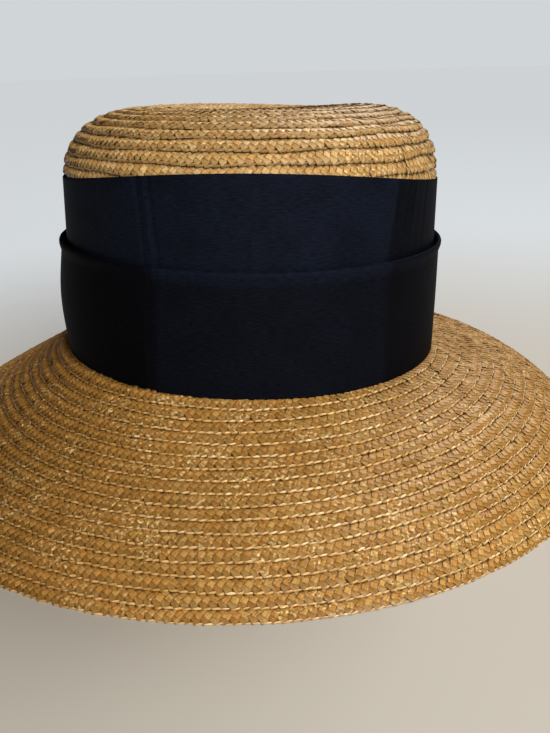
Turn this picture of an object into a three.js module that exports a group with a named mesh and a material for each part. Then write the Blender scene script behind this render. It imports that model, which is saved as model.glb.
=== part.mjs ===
// Straw hat with a wide brim that slopes down all round and a dark cloth band in two tiers.
// One plait of straw is sewn in overlapping rows from the middle of the crown out to the rim.
// Millimetres, +Z up, the front towards -Y, the rim flat on z = 0 with its middle at the origin.
import * as THREE from "three";

// Head opening: half sizes of the straw's outside where the crown meets the brim
const HEAD_HALF_X = 86.2;
const HEAD_HALF_Y = 94.8;
const HEAD_HEIGHT = 45.9; // middle of the head opening above the rim
const LEAN_RIGHT = 2.0; // degrees the crown's axis leans to +X
const LEAN_BACK = 1.8; // degrees it leans to +Y

// Brim
const BRIM_LENGTH = 93.3; // along the slope, from the line under the band to the rim
const BRIM_START = 4.2; // that line lies this far outside the straw of the crown
const BRIM_SHIFT_X = -2.9; // the brim's oval sits this far to the side of the crown's
const BRIM_SAG = 29; // degrees of extra fall at both ends of the slope
const BRIM_WALL = 1.8;
const FIRST_ROW = 4.1; // first row edge outside the start line
const ROW_STEP = 5.6; // exposed width of one plait row
const ROW_LIFT = 0.5; // a row's outer edge stands this far proud, its inner edge as far below
const ROW_EDGE = 0.5; // length of the drop from one row to the next

// Crown, heights measured along its own axis from the head opening
const CROWN_FOOT = 0; // stands on the brim's inner edge
const CROWN_WALL = 1.8;
const SHOULDER_FOOT = 80; // where the straight wall starts to turn in
const CROWN_HEIGHT = 110.6;
const SHOULDER_WIDTH = 35.7; // measured along X
const SHOULDER_POWER = 2.4; // 2 is a plain ellipse, more is squarer
const TOP_DISH = 1.5; // the middle of the top lies this far below its edge
const TOP_TILT = 0.025; // rise of the top per millimetre towards +X
const DENT = { x: 28, y: 45, radius: 36, depth: 2.2 }; // soft dent behind on the right of the top
const CROWN_ROW_STEP = 5.7;
const PLAIN_MIDDLE = 18; // rows inside this radius are too small to model
const TOP_BLEND = 8; // the tilt and the dent reach their full size this far below the top
const INSIDE_STOPS = [0.84, 0.74, 0.66, 0.58, 0.51, 0.44, 0.36]; // shares of the section where the inside has a ring

// Band: a flat upper tier and a lower tier with a soft rolled top edge over it
const CLOTH = 1.0;
const CLOTH_GAP = 0.8; // between straw and cloth, and between the tiers
const UPPER = { foot: 40, top: 90, dip: 9.5 }; // its top edge dips this much at both sides
const LOWER = { top: 53, wall: 1.2, flare: 0.4, lip: 0.6 };
const ROLL = [
  // share of the tier's height, and millimetres that the rolled edge stands out there
  { at: 0.9, out: 0.6 },
  { at: 0.96, out: 0.9 },
  { at: 1, out: 0.4 },
];

// How the four sides differ: degrees the brim bends from start to rim,
// and how far the lower tier bulges and how high its foot lies, in millimetres
const SIDES = {
  front: { bend: 4.5, bulge: 0.3, foot: -0.6 },
  right: { bend: 45, bulge: 0.2, foot: 0.8 },
  back: { bend: 28, bulge: 0.4, foot: 0.4 },
  left: { bend: 1, bulge: 2.2, foot: -0.5 },
};

const SEGMENTS = 56; // round the head
const SLOPE_STEPS = 24; // steps along the brim's slope
const SLOPE_PASSES = 12; // rounds that settle the slope on the floor
const UNDERSIDE_RINGS = 6;
const SHOULDER_STEPS = 60;
const TOP_STEPS = 30;

const straw = new THREE.MeshStandardMaterial({ color: 0xb98a4a, roughness: 0.5, metalness: 0 });
const cloth = new THREE.MeshStandardMaterial({ color: 0x10131c, roughness: 0.8, metalness: 0 });

const radians = THREE.MathUtils.degToRad;
const leanX = Math.tan(radians(LEAN_RIGHT));
const leanY = Math.tan(radians(LEAN_BACK));

// A column of the sides table at an angle round the head: 0 is the front, a quarter turn is the right side
function side(column, angle) {
  const { front, right, back, left } = SIDES;
  const mean = (front[column] + right[column] + back[column] + left[column]) / 4;
  const frontBack = (front[column] - back[column]) / 2;
  const rightLeft = (right[column] - left[column]) / 2;
  const across = (front[column] + back[column] - right[column] - left[column]) / 4;
  return mean + frontBack * Math.cos(angle) + rightLeft * Math.sin(angle) + across * Math.cos(2 * angle);
}

// Point of the head oval grown by an offset, and the way out from there
function oval(angle, offset) {
  const halfX = HEAD_HALF_X + offset;
  const halfY = HEAD_HALF_Y + offset;
  const out = new THREE.Vector2(Math.sin(angle) / halfX, -Math.cos(angle) / halfY).normalize();
  return { x: halfX * Math.sin(angle), y: -halfY * Math.cos(angle), out };
}

// Height of the leaning head plane over a point of the floor
function headPlane(x, y) {
  return HEAD_HEIGHT - leanX * x - leanY * y;
}

// The brim's slope at one angle: its fall is settled so that the rim just meets the floor
function brimSlope(angle) {
  const start = oval(angle, BRIM_START);
  start.x += BRIM_SHIFT_X;
  const drop = headPlane(start.x, start.y);
  const bend = side("bend", angle);
  const step = BRIM_LENGTH / SLOPE_STEPS;
  let middle = 0; // degrees
  let fall = [];
  for (let pass = 0; pass < SLOPE_PASSES; pass++) {
    fall = [];
    let run = 0;
    let down = 0;
    for (let i = 0; i < SLOPE_STEPS; i++) {
      const along = (i + 0.5) / SLOPE_STEPS - 0.5;
      const slope = radians(middle + bend * along + BRIM_SAG * (along * along - 1 / 12));
      fall.push(slope);
      run += step * Math.cos(slope);
      down += step * Math.sin(slope);
    }
    middle += THREE.MathUtils.radToDeg((drop - down) / run);
  }
  return { start, drop, fall, step };
}

// Point of the brim a length s out from the start line, lifted off the slope
function brimPoint({ start, drop, fall, step }, s, lift) {
  let run = 0;
  let down = 0;
  let left = s;
  for (let i = 0; i < SLOPE_STEPS && left > 0; i++) {
    const length = Math.min(left, step);
    run += length * Math.cos(fall[i]);
    down += length * Math.sin(fall[i]);
    left -= length;
  }
  const at = Math.min(Math.max(Math.floor(s / step), 0), SLOPE_STEPS - 1);
  run += lift * Math.sin(fall[at]);
  return new THREE.Vector3(
    start.x + start.out.x * run,
    start.y + start.out.y * run,
    drop - down + lift * Math.cos(fall[at]),
  );
}

// Inner edge of the brim, flat in the head plane under the crown's wall
function brimFoot(angle, lift) {
  const { x, y } = oval(angle, -CROWN_WALL);
  return new THREE.Vector3(x, y, headPlane(x, y) + lift);
}

// Brim: overlapping rows above, plain below, cut flat where the rim rests
function brimOutline(angle) {
  const slope = brimSlope(angle);
  const outline = [brimFoot(angle, -ROW_LIFT)];
  for (let edge = FIRST_ROW; edge < BRIM_LENGTH - ROW_STEP / 2; edge += ROW_STEP) {
    outline.push(brimPoint(slope, edge, ROW_LIFT));
    outline.push(brimPoint(slope, edge + ROW_EDGE, -ROW_LIFT));
  }
  const rim = brimPoint(slope, BRIM_LENGTH, 0);
  rim.z = 0;
  outline.push(rim);
  const edgeFall = slope.fall[SLOPE_STEPS - 1];
  const cut = brimPoint(slope, BRIM_LENGTH - BRIM_WALL / Math.tan(edgeFall), -BRIM_WALL);
  cut.z = 0;
  outline.push(cut);
  for (let i = UNDERSIDE_RINGS - 1; i >= 0; i--) {
    outline.push(brimPoint(slope, (i / UNDERSIDE_RINGS) * BRIM_LENGTH, -BRIM_WALL));
  }
  outline.push(brimFoot(angle, -ROW_LIFT - BRIM_WALL));
  return outline.reverse();
}

// The crown's section from its foot up the wall, round the shoulder and in to the middle,
// as points with a share of the head oval's size, a height and the way out
function crownCurve() {
  const points = [];
  const share = (inset) => 1 - inset / HEAD_HALF_X;
  const rise = CROWN_HEIGHT - SHOULDER_FOOT;
  points.push({ share: 1, height: CROWN_FOOT });
  for (let i = 0; i <= SHOULDER_STEPS; i++) {
    const turn = (i / SHOULDER_STEPS) * (Math.PI / 2);
    const inset = SHOULDER_WIDTH * (1 - Math.cos(turn) ** (2 / SHOULDER_POWER));
    points.push({ share: share(inset), height: SHOULDER_FOOT + rise * Math.sin(turn) ** (2 / SHOULDER_POWER) });
  }
  const flat = share(SHOULDER_WIDTH);
  for (let i = 1; i <= TOP_STEPS; i++) {
    const inward = i / TOP_STEPS;
    const dish = TOP_DISH * Math.sin((inward * Math.PI) / 2) ** 2;
    points.push({ share: flat * (1 - inward), height: CROWN_HEIGHT - dish });
  }
  let length = 0;
  points.forEach((point, i) => {
    const before = points[Math.max(i - 1, 0)];
    length += Math.hypot((point.share - before.share) * HEAD_HALF_X, point.height - before.height);
    point.length = length;
  });
  return points;
}

const crownSection = crownCurve();
const crownLength = crownSection.at(-1).length;

// Share and height of the crown's outside at a length up its section, moved along the way out by a lift
function crownAt(length, lift) {
  const last = crownSection.length - 1;
  let i = crownSection.findIndex((point) => point.length >= length);
  i = Math.min(Math.max(i, 1), last);
  const a = crownSection[i - 1];
  const b = crownSection[i];
  const part = (length - a.length) / (b.length - a.length);
  const inwards = ((a.share - b.share) * HEAD_HALF_X) / (b.length - a.length);
  const upwards = (b.height - a.height) / (b.length - a.length);
  return {
    share: a.share + part * (b.share - a.share) + (lift * upwards) / HEAD_HALF_X,
    height: a.height + part * (b.height - a.height) + lift * inwards,
  };
}

// A share and height of the crown as a point: the top tilts and has a soft dent
function crownPoint(angle, { share, height }) {
  const x = HEAD_HALF_X * share * Math.sin(angle);
  const y = -HEAD_HALF_Y * share * Math.cos(angle);
  const top = THREE.MathUtils.smoothstep(height, SHOULDER_FOOT, CROWN_HEIGHT - TOP_BLEND);
  const away = Math.hypot(x - DENT.x, y - DENT.y) / DENT.radius;
  const dent = DENT.depth * Math.exp(-away * away);
  return new THREE.Vector3(x, y, height + top * (TOP_TILT * x - dent));
}

// Lengths up the crown's section where one row's lower edge lies over the next
function crownRowEdges() {
  const edges = [];
  const wallTop = crownSection[1].length;
  for (let s = wallTop; crownAt(s, 0).share * HEAD_HALF_X > PLAIN_MIDDLE; s += CROWN_ROW_STEP) {
    edges.push(s);
  }
  return edges;
}

// Crown: plain wall behind the band, overlapping rows above it, and a hollow inside
const crownEdges = crownRowEdges();
function crownOutline(angle) {
  const outline = [crownPoint(angle, crownAt(0, 0))];
  for (const edge of crownEdges) {
    outline.push(crownPoint(angle, crownAt(edge - ROW_EDGE, -ROW_LIFT)));
    outline.push(crownPoint(angle, crownAt(edge, ROW_LIFT)));
  }
  outline.push(crownPoint(angle, { share: 0, height: CROWN_HEIGHT - TOP_DISH }));
  outline.push(crownPoint(angle, { share: 0, height: CROWN_HEIGHT - TOP_DISH - CROWN_WALL }));
  for (const part of INSIDE_STOPS) {
    outline.push(crownPoint(angle, crownAt(part * crownLength, -CROWN_WALL - ROW_LIFT)));
  }
  outline.push(crownPoint(angle, crownAt(0, -CROWN_WALL)));
  return outline;
}

// Upper tier of the band: a plain upright strip whose top edge dips at the sides
function upperOutline(angle) {
  const top = UPPER.top - UPPER.dip * Math.sin(angle) ** 2;
  const inner = oval(angle, CLOTH_GAP);
  const outer = oval(angle, CLOTH_GAP + CLOTH);
  return [
    new THREE.Vector3(inner.x, inner.y, UPPER.foot),
    new THREE.Vector3(outer.x, outer.y, UPPER.foot),
    new THREE.Vector3(outer.x, outer.y, top),
    new THREE.Vector3(inner.x, inner.y, top),
  ];
}

// Lower tier: swells from its foot to a soft rolled edge that laps the upper tier
function lowerOutline(angle) {
  const base = 2 * CLOTH_GAP + CLOTH;
  const bulge = side("bulge", angle);
  const foot = side("foot", angle);
  const height = LOWER.top - foot;
  const swell = (part) => LOWER.flare * part + bulge * Math.sin(part * Math.PI) ** 1.5;
  const outline = [];
  const at = (offset, z) => {
    const point = oval(angle, offset);
    outline.push(new THREE.Vector3(point.x, point.y, z));
  };
  const quarters = [0, 0.25, 0.5, 0.75];
  quarters.forEach((part) => at(base + LOWER.wall + swell(part), foot + part * height));
  ROLL.forEach((row) => at(base + LOWER.wall + swell(row.at) + row.out, foot + row.at * height));
  at(base, LOWER.top - LOWER.lip);
  quarters.toReversed().forEach((part) => at(base + swell(part), foot + part * height));
  return outline;
}

// Closed solid swept round the head from one outline for each angle, the points going round the section.
// A point that is the same at every angle is the end of a pole.
function sweep(outlineAt) {
  const positions = [];
  const index = [];
  const outlines = Array.from({ length: SEGMENTS }, (_, i) => outlineAt((i / SEGMENTS) * 2 * Math.PI));
  const count = outlines[0].length;
  outlines.flat().forEach((point) => positions.push(point.x, point.y, point.z));
  const isPole = (k) => outlines.every((outline) => outline[k].distanceTo(outlines[0][k]) < 1e-6);
  const poles = outlines[0].map((_, k) => isPole(k));
  const vertex = (i, k) => (poles[k] ? k : (i % SEGMENTS) * count + k);
  for (let i = 0; i < SEGMENTS; i++) {
    for (let k = 0; k < count; k++) {
      const next = (k + 1) % count;
      if (poles[k] && poles[next]) continue;
      if (!poles[k]) index.push(vertex(i, k), vertex(i + 1, k), vertex(i, next));
      if (!poles[next]) index.push(vertex(i + 1, k), vertex(i + 1, next), vertex(i, next));
    }
  }
  const geometry = new THREE.BufferGeometry();
  geometry.setAttribute("position", new THREE.Float32BufferAttribute(positions, 3));
  geometry.setIndex(index);
  return geometry;
}

function piece(name, outlineAt, material) {
  const mesh = new THREE.Mesh(sweep(outlineAt), material);
  mesh.name = name;
  return mesh;
}

// The crown and the band share one leaning group set over the head opening
const upright = new THREE.Group();
upright.add(piece("crown", crownOutline, straw));
upright.add(piece("band_upper", upperOutline, cloth));
upright.add(piece("band_lower", lowerOutline, cloth));
upright.position.z = HEAD_HEIGHT;
upright.quaternion.setFromUnitVectors(
  new THREE.Vector3(0, 0, 1),
  new THREE.Vector3(leanX, leanY, 1).normalize(),
);

const hat = new THREE.Group();
hat.add(upright);
hat.add(piece("brim", brimOutline, straw));

// The middle of the rim is the origin
const rim = new THREE.Box3().setFromObject(hat);
const middle = rim.getCenter(new THREE.Vector3());
for (const child of [...hat.children]) {
  child.position.x -= middle.x;
  child.position.y -= middle.y;
}

export default hat;
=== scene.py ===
import math

import bpy
import numpy as np
from mathutils import Matrix, Vector


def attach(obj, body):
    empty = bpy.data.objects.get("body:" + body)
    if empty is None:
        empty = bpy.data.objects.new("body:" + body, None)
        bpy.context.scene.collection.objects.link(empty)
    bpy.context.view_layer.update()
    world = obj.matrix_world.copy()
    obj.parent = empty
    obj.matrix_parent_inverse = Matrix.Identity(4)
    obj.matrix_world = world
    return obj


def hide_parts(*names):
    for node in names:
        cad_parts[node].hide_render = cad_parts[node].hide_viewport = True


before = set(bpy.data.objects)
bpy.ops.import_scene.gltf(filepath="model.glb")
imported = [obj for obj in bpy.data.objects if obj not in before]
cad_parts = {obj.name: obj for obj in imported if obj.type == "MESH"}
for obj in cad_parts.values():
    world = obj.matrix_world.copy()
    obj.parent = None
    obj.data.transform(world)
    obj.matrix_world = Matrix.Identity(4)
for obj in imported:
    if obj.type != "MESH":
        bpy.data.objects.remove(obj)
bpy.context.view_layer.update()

metresPerMm = 0.001
fullTurn = 2 * math.pi
floorGap = 0.05  # millimetres, nothing reaches under the floor


# Shared helpers

def hexColour(code):
    parts = [int(code[i:i + 2], 16) / 255 for i in (1, 3, 5)]
    return tuple(v / 12.92 if v <= 0.04045 else ((v + 0.055) / 1.055) ** 2.4 for v in parts) + (1.0,)


def addNode(tree, kind, inputs=None, **settings):
    node = tree.nodes.new(kind)
    for name, value in settings.items():
        setattr(node, name, value)
    for name, value in (inputs or {}).items():
        if isinstance(value, bpy.types.NodeSocket):
            tree.links.new(value, node.inputs[name])
        else:
            node.inputs[name].default_value = value
    return node


def unit(vectors):
    return vectors / np.linalg.norm(vectors, axis=-1, keepdims=True)


# Angle round the head from the front, positive to the right
def fromFront(winding):
    return (winding + math.pi) % fullTurn - math.pi


def smoothStep(low, high, value):
    part = np.clip((value - low) / (high - low), 0, 1)
    return part * part * (3 - 2 * part)


def newMaterial(name, roughness):
    material = bpy.data.materials.new(name)
    material.use_nodes = True
    shader = material.node_tree.nodes["Principled BSDF"]
    shader.inputs["Roughness"].default_value = roughness
    return material, material.node_tree, shader


def meshObject(name, points, faces, attributes=None, uv=None, smooth=True):
    mesh = bpy.data.meshes.new(name)
    mesh.from_pydata((np.asarray(points) * metresPerMm).tolist(), [], faces)
    for key, values in (attributes or {}).items():
        values = np.asarray(values, np.float32)
        kind = "FLOAT_VECTOR" if values.ndim == 2 else "FLOAT"
        layer = mesh.attributes.new(key, kind, "POINT")
        layer.data.foreach_set("vector" if values.ndim == 2 else "value", values.ravel())
    if uv is not None:
        layer = mesh.uv_layers.new(name="UVMap")
        layer.data.foreach_set("uv", np.asarray(uv, np.float32).ravel())
    mesh.polygons.foreach_set("use_smooth", [smooth] * len(mesh.polygons))
    mesh.update()
    piece = bpy.data.objects.new(name, mesh)
    bpy.context.scene.collection.objects.link(piece)
    return piece


# The head and the brim's slope, in millimetres

head = {
    "halfX": 86.2,
    "halfY": 94.8,
    "height": 45.9,
    "leanRight": math.radians(2.0),
    "leanBack": math.radians(1.8),
    "overRim": (2.447, -1.260),  # middle of the head opening over the rim's middle
}
leanX = math.tan(head["leanRight"])
leanY = math.tan(head["leanBack"])

brim = {
    "length": 93.3,
    "start": 4.2,
    "shiftX": -2.9,
    "sag": 29.0,
    "wall": 1.8,
    "steps": 24,
    "passes": 12,
    "firstRow": 4.1,
    "rowStep": 5.607,
    "stray": 0.3,  # reach of the row's uneven edge
    "endTaper": 2.3,  # the rows spread by this at the back, where the plait's end runs out
    "taperFrom": 1.2,
}

# How the four sides differ: brim bend in degrees, bulge and foot of the band's lower tier in millimetres
sides = {
    "front": {"bend": 4.5, "bulge": 0.3, "foot": -0.6},
    "right": {"bend": 45.0, "bulge": 0.2, "foot": 0.8},
    "back": {"bend": 28.0, "bulge": 0.4, "foot": 0.4},
    "left": {"bend": 1.0, "bulge": 2.2, "foot": -0.5},
}


def sideValue(column, t):
    front, right, back, left = (sides[k][column] for k in ("front", "right", "back", "left"))
    mean = (front + right + back + left) / 4
    across = (front + back - right - left) / 4
    return mean + (front - back) / 2 * np.cos(t) + (right - left) / 2 * np.sin(t) + across * np.cos(2 * t)


def ovalPoint(t, offset):
    halfX = head["halfX"] + offset
    halfY = head["halfY"] + offset
    out = unit(np.stack([np.sin(t) / halfX, -np.cos(t) / halfY], -1))
    return np.stack([halfX * np.sin(t), -halfY * np.cos(t)], -1), out


# Place, downhill way and upward way on the brim at slope length s and angle t
def brimAt(s, t):
    start, out = ovalPoint(t, brim["start"])
    start = start + np.array([brim["shiftX"], 0.0])
    drop = head["height"] - leanX * start[:, 0] - leanY * start[:, 1]
    steps = brim["steps"]
    step = brim["length"] / steps
    along = (np.arange(steps) + 0.5) / steps - 0.5
    shape = sideValue("bend", t)[:, None] * along + brim["sag"] * (along ** 2 - 1 / 12)
    middle = np.zeros(len(t))
    for _ in range(brim["passes"]):
        fall = np.radians(middle[:, None] + shape)
        run = step * np.cos(fall).sum(1)
        down = step * np.sin(fall).sum(1)
        middle = middle + np.degrees((drop - down) / run)
    fall = np.radians(middle[:, None] + shape)
    zero = np.zeros((len(t), 1))
    runs = np.concatenate([zero, np.cumsum(np.cos(fall) * step, 1)], 1)
    downs = np.concatenate([zero, np.cumsum(np.sin(fall) * step, 1)], 1)
    i = np.clip(np.floor(s / step), 0, steps - 1).astype(int)
    rows = np.arange(len(t))
    part = s / step - i
    run = runs[rows, i] + part * (runs[rows, i + 1] - runs[rows, i])
    down = downs[rows, i] + part * (downs[rows, i + 1] - downs[rows, i])
    j = np.clip(np.floor(s / step - 0.5), 0, steps - 2).astype(int)
    part = np.clip(s / step - 0.5 - j, 0, 1)
    slope = fall[rows, j] + part * (fall[rows, j + 1] - fall[rows, j])
    flat = start + out * run[:, None] + np.array(head["overRim"])
    place = np.concatenate([flat, (drop - down)[:, None]], 1)
    downhill = np.concatenate([out * np.cos(slope)[:, None], -np.sin(slope)[:, None]], 1)
    upward = np.concatenate([out * np.sin(slope)[:, None], np.cos(slope)[:, None]], 1)
    return place, downhill, upward


# A sewn row is never quite even: its edge strays in two waves that differ from row to row.
# Share of the reach, waves per turn and start of each wave
strayWaves = ((0.6, 7.3, 0.0), (0.4, 12.7, 1.0))


def stray(winding, reach):
    return reach * sum(share * np.sin(rate * winding + start) for share, rate, start in strayWaves)


# Slope length of the plait's outer edge after winding by an angle, 0 at the front of the first row
def brimEdge(winding):
    s = brim["firstRow"] + brim["rowStep"] * winding / fullTurn + stray(winding, brim["stray"])
    spread = smoothStep(brim["taperFrom"], math.pi, np.abs(fromFront(winding)))
    s = s + brim["endTaper"] * np.clip(s / brim["length"], 0, 1) ** 4 * spread
    return np.minimum(s, brim["length"])


# The crown's section and its leaning frame

crown = {
    "shoulderFoot": 80.0,
    "height": 110.6,
    "shoulderWidth": 35.7,
    "shoulderPower": 2.4,
    "dish": 1.5,
    "tilt": 0.025,
    "dent": {"x": 28.0, "y": 45.0, "radius": 36.0, "depth": 2.2},
    "blend": 8.0,  # the tilt and the dent are whole from this far under the top
    "shoulderSteps": 121,
    "topSteps": 60,
    "rowStep": 5.695,
    "stray": 0.65,
    "rowAtFront": 92.4,  # height of one row's lower edge at the front
    "lowestRow": 76.0,
}


def crownCurve():
    turn = np.linspace(0, math.pi / 2, crown["shoulderSteps"])
    power = 2 / crown["shoulderPower"]
    inset = crown["shoulderWidth"] * (1 - np.clip(np.cos(turn), 0, 1) ** power)
    rise = crown["height"] - crown["shoulderFoot"]
    share = 1 - inset / head["halfX"]
    height = crown["shoulderFoot"] + rise * np.sin(turn) ** power
    inward = np.linspace(0, 1, crown["topSteps"] + 1)[1:]
    topShare = share[-1] * (1 - inward)
    topHeight = crown["height"] - crown["dish"] * np.sin(inward * math.pi / 2) ** 2
    share = np.concatenate([[1.0], share, topShare])
    height = np.concatenate([[0.0], height, topHeight])
    pace = np.hypot(np.diff(share) * head["halfX"], np.diff(height))
    return np.concatenate([[0.0], np.cumsum(pace)]), share, height


crownLength, crownShare, crownHeight = crownCurve()
leanAxis = Vector((leanX, leanY, 1.0)).normalized()
leanTurn = np.array(Vector((0, 0, 1)).rotation_difference(leanAxis).to_matrix())
crownFoot = np.array([*head["overRim"], head["height"]])


def leaned(points):
    return points @ leanTurn.T + crownFoot


def crownSurface(share, height, t):
    x = head["halfX"] * share * np.sin(t)
    y = -head["halfY"] * share * np.cos(t)
    top = smoothStep(crown["shoulderFoot"], crown["height"] - crown["blend"], height)
    dent = crown["dent"]
    away = np.hypot(x - dent["x"], y - dent["y"]) / dent["radius"]
    z = height + top * (crown["tilt"] * x - dent["depth"] * np.exp(-away ** 2))
    return np.stack([x, y, z], -1)


# Place, downhill way and outward way on the crown at section length s and angle t
def crownAt(s, t):
    def place(length, angle):
        share = np.interp(length, crownLength, crownShare)
        height = np.interp(length, crownLength, crownHeight)
        return crownSurface(share, height, angle)

    small = 0.8
    downhill = unit(place(s - small, t) - place(s + small, t))
    turn = 0.02
    across = unit(place(s, t + turn) - place(s, t - turn))
    out = unit(np.cross(downhill, across))
    return leaned(place(s, t)), downhill @ leanTurn.T, out @ leanTurn.T


rising = slice(0, crown["shoulderSteps"] + 1)
frontRow = float(np.interp(crown["rowAtFront"], crownHeight[rising], crownLength[rising]))


# Section length of the plait's lower edge after winding by an angle, 0 at the front row over the band
def crownEdge(winding):
    return frontRow - crown["rowStep"] * winding / fullTurn + stray(winding, crown["stray"])


# One repeat of the plait, seen on its exposed row: X runs along the row, Y towards the row above, Z out.
# A straw comes out from under the row above, passes under a square petal that slants the other way,
# shows again in the recess below it and folds over along the edge.

cell = {
    "row": 5.6,
    "repeat": 3.27,
    # part, start, end, half width, height over the bulge at both ends, how far one side tucks in
    "petals": (
        (0, (0.37, 3.44), (2.33, 0.19), 1.41, 0.06, -0.04, -0.05),
        (1, (0.55, 1.45), (-0.83, -0.85), 1.41, 0.12, 0.16, 0.07),
        (2, (-2.25, 0.35), (-0.22, -2.72), 1.41, -0.06, 0.06, -0.05),
    ),
    "across": (-1.0, -0.5, 0.5, 1.0),
    "along": (0.0, 0.33, 0.67, 1.0),
    "edgeDrop": 0.13,
    # the row swells between its two edges
    "bulge": 0.6,
    "crest": -0.3,
    "fallBelow": 2.7,
    "fallAbove": 3.3,
    "foldPart": 3,
    "foldHalf": 1.78,
    "foldSteps": 5,
    "foldSlant": 0.2,
    "foldSection": ((-2.18, 0.18), (-2.52, 0.33), (-2.80, 0.15), (-2.98, -0.5)),  # over the edge and down
    "foldLow": -2.9,
    # a fold is widest here along its length, narrows away from there, and sinks at its ends
    "foldPeak": 0.2,
    "foldNarrow": 0.62,
    "foldEndHeight": 0.4,
    "foldSink": 0.25,
    "foldShift": 0.2,
}


def plaitCell():
    points, faces, part, uv = [], [], [], []

    def addGrid(kind, gridPoints, gridUv, across):
        first = len(points)
        for j in range(len(gridPoints) // across - 1):
            for i in range(across - 1):
                corner = first + j * across + i
                faces.append([corner, corner + across, corner + across + 1, corner + 1])
        points.extend(gridPoints)
        part.extend([float(kind)] * len(gridPoints))
        uv.extend(gridUv)

    across = cell["across"]
    for kind, start, end, half, startHeight, endHeight, tuck in cell["petals"]:
        start = np.array(start)
        end = np.array(end)
        axis = unit(end - start)
        sideways = np.array([-axis[1], axis[0]])
        gridPoints, gridUv = [], []
        for q in cell["along"]:
            for p in across:
                x, y = start + (end - start) * q + sideways * p * half
                fall = cell["fallBelow"] if y < cell["crest"] else cell["fallAbove"]
                swell = cell["bulge"] * (1 - ((y - cell["crest"]) / fall) ** 2)
                ride = startHeight + (endHeight - startHeight) * q
                gridPoints.append([x, y, swell + ride - tuck * p - cell["edgeDrop"] * p * p])
                gridUv.append([(p + 1) / 2, q])
        addGrid(kind, gridPoints, gridUv, len(across))
    section = cell["foldSection"]
    gridPoints, gridUv = [], []
    low = cell["foldLow"]
    for p in np.linspace(-1, 1, cell["foldSteps"]):
        swell = 1 - cell["foldNarrow"] * abs(p - cell["foldPeak"])
        height = cell["foldEndHeight"] + (1 - cell["foldEndHeight"]) * swell
        x = p * cell["foldHalf"] + cell["foldShift"]
        for k, (y, z) in enumerate(section):
            y = low + (y - low) * swell + cell["foldSlant"] * p
            gridPoints.append([x, y, z * height - cell["foldSink"] * (1 - swell)])
            gridUv.append([k / (len(section) - 1), (p + 1) / 2])
    addGrid(cell["foldPart"], gridPoints, gridUv, len(section))
    cornerUv = [uv[i] for face in faces for i in face]
    print("plait repeat", len(faces), "faces")
    return meshObject("plaitRepeat", points, faces, {"part": part}, cornerUv)


# Straw: golden wheat straw, split, plaited wet and pressed. Waxy skin, so each petal has a soft gloss.
# The tone changes from straw to straw; painted shade darkens it in the grooves, in the recesses, under the
# row above and round the left and the back. The folds along a row's edge show the shiny outer skin, so they
# are glossier; round the front and the right they are painted paler as a painted highlight. Small pale
# specks are painted glints.

# The glint colour is a painted highlight, laid in small specks.
strawLook = {
    "glint": "#F0D196",
    "ior": 1.5,
    "speckMm": 1.2,
    "patchMm": 26.0,
    "glintMm": 14.0,
    "fibresAcross": 5.0,
}
# Tones go from the darkest straw to the palest. The shades are painted light and shade for the straw under
# the row above, the square petal, the recess and the fold: each is lighter or darker by how much light it
# gets, the recess lies in painted shade, and the fold on the brim is lightened as a painted highlight and on
# the crown darkened as the painted shadow under the row's edge. endShade is the painted shade in the groove
# across a petal's ends, the least-lit value the tone left at the side of the hat in painted shade, and
# dullest the tone left in the dull stretches along a row.
brimLightAndShade = (0.94, 1.06, 0.72, 1.25)
strawFinishes = {
    "wheatStrawBrim": {
        "tones": (
            (0.0, "#98672C"), (0.3, "#A97A38"), (0.5, "#B37D3A"),
            (0.7, "#B98D4A"), (0.9, "#C79853"), (1.0, "#D9AE70")),
        "lightAndShade": brimLightAndShade,
        "roughness": 0.45,
        "specular": 0.22,
        "endShade": 0.3,
        "leastLit": 0.28,
        "dullest": 0.9,
    },
    # The fold's pale cream tones are a painted highlight: they show round the front and the right and drop
    # to the darkest tone round the left and the back.
    "wheatStrawFold": {
        "tones": ((0.0, "#A2763A"), (0.45, "#C49858"), (0.8, "#E0BE88"), (1.0, "#F2DDB4")),
        "lightAndShade": brimLightAndShade,
        "roughness": 0.3,
        "specular": 0.5,
        "endShade": 0.6,
        "leastLit": 0.0,
        "dullest": 0.65,
    },
    "wheatStrawCrown": {
        "tones": (
            (0.0, "#9E743F"), (0.3, "#B1894F"), (0.5, "#BB8C50"),
            (0.7, "#C09C63"), (0.9, "#CFA971"), (1.0, "#E0C092")),
        "lightAndShade": (1.02, 1.14, 0.9, 0.65),
        "roughness": 0.45,
        "specular": 0.22,
        "endShade": 0.3,
        "leastLit": 1.0,
        "dullest": 0.85,
    },
}


def setStops(ramp, stops, constant=False):
    elements = ramp.color_ramp.elements
    while len(elements) < len(stops):
        elements.new(0.5)
    for element, (at, colour) in zip(elements, stops):
        element.position = at
        element.color = hexColour(colour) if isinstance(colour, str) else (colour, colour, colour, 1.0)
    if constant:
        ramp.color_ramp.interpolation = "CONSTANT"


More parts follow.
